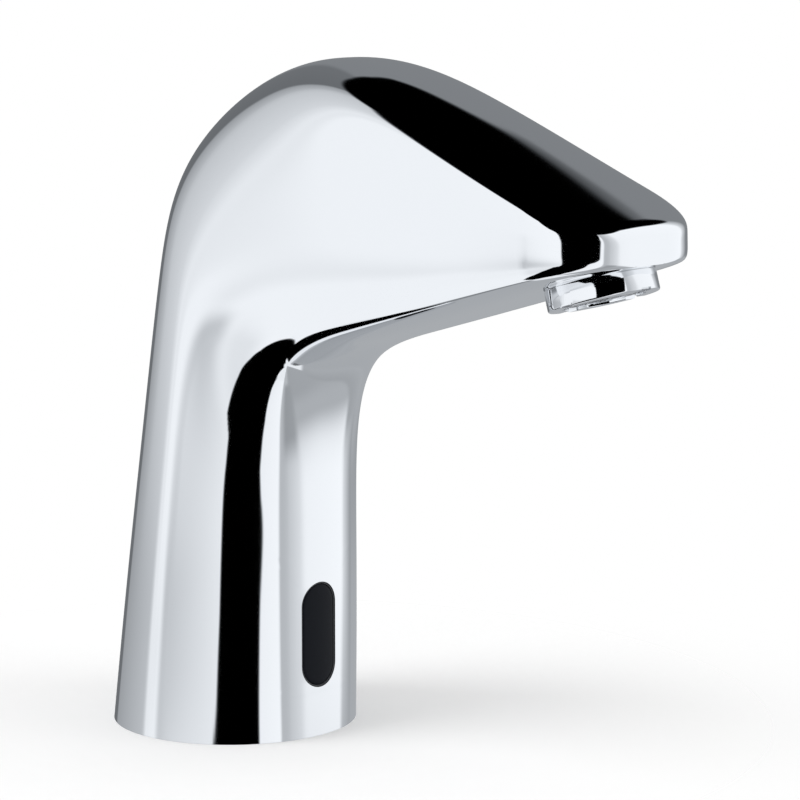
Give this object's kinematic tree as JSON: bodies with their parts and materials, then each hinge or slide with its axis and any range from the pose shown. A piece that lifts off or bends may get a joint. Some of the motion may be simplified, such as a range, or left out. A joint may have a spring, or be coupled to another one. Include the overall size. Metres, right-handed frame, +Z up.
{
  "type": "sensor tap",
  "caption": "Deck-mounted infrared sensor basin tap: chromed column and spout with aerator, sensor window, solenoid valve, batteries and check valve inside.",
  "frame": {"origin": "centre of the round foot, on the deck", "axes": "+Z up the column, +X the way the spout points, so the sensor window faces +X; the XZ plane is the plane of symmetry"},
  "size_m": [0.1532, 0.057, 0.1557],
  "materials": {
    "chrome": "polished chrome plate on brass",
    "dark_window": "glossy, dark, passes infrared",
    "rubber": "matt",
    "brass": "machined",
    "steel": "stainless, satin",
    "springs": "bright wire",
    "black_plastic": "moulded",
    "white_plastic": "moulded",
    "screen_plastic": "moulded",
    "board": "lacquered",
    "diodes": "clear dark resin",
    "copper": "enamelled wire",
    "cell_sleeve": "plain shrink sleeve",
    "pipe": "drawn",
    "lead_sleeve": "soft sleeve"
  },
  "bodies": {
    "tap": {"body_shell": "chrome", "aerator_housing": "chrome", "sensor_window": "dark_window", "window_gasket": "rubber", "base_seal": "rubber", "check_valve_seal": "rubber", "diaphragm": "rubber", "pipe_seal": "rubber", "aerator_washer": "rubber", "base_plate": "brass", "valve_body": "brass", "inlet_adaptor": "brass", "pipe_nut": "brass", "base_screws": "steel", "bracket_screws": "steel", "sensor_screws": "steel", "cover_screws": "steel", "cap_screws": "steel", "holder_screws": "steel", "valve_clip": "steel", "sensor_bracket": "steel", "core_tube": "steel", "fixed_core": "steel", "core_nut": "steel", "solenoid_yoke": "steel", "battery_bracket": "steel", "battery_floor_contacts": "steel", "battery_link": "steel", "inlet_filter": "steel", "strainer": "steel", "check_valve_spring": "springs", "plunger_spring": "springs", "sensor_housing": "black_plastic", "sensor_back_cover": "black_plastic", "battery_holder": "black_plastic", "battery_cap": "black_plastic", "valve_cover": "black_plastic", "check_valve_cage": "white_plastic", "check_valve_guide": "white_plastic", "coil_bobbin": "white_plastic", "jet_former": "white_plastic", "flow_limiter": "white_plastic", "outlet_screen": "screen_plastic", "sensor_circuit_board": "board", "ir_receiver": "diodes", "ir_emitter": "diodes", "status_led": "diodes", "coil_winding": "copper", "battery_cell_left": "cell_sleeve", "battery_cell_right": "cell_sleeve", "outlet_pipe": "pipe", "solenoid_lead": "lead_sleeve", "battery_lead": "lead_sleeve"},
    "check_poppet": {"check_valve_poppet": "white_plastic"},
    "plunger": {"plunger": "steel", "plunger_tip": "rubber"},
    "diaphragm_centre": {"diaphragm_insert": "white_plastic"}
  },
  "joints": [
    {"name": "check_poppet_lift", "type": "slide", "parent": "tap", "child": "check_poppet", "axis": [0, 0, 1], "range_m": [0, 0.0024], "stiffness_N_per_m": 60, "springref_m": -0.004, "deforming": ["check_valve_spring"]},
    {"name": "plunger_lift", "type": "slide", "parent": "tap", "child": "plunger", "axis": [0, 0, 1], "range_m": [0, 0.0014], "stiffness_N_per_m": 200, "springref_m": -0.004, "deforming": ["plunger_spring"]},
    {"name": "diaphragm_lift", "type": "slide", "parent": "tap", "child": "diaphragm_centre", "axis": [0, 0, 1], "range_m": [0, 0.0015], "stiffness_N_per_m": 150, "springref_m": -0.002}
  ]
}
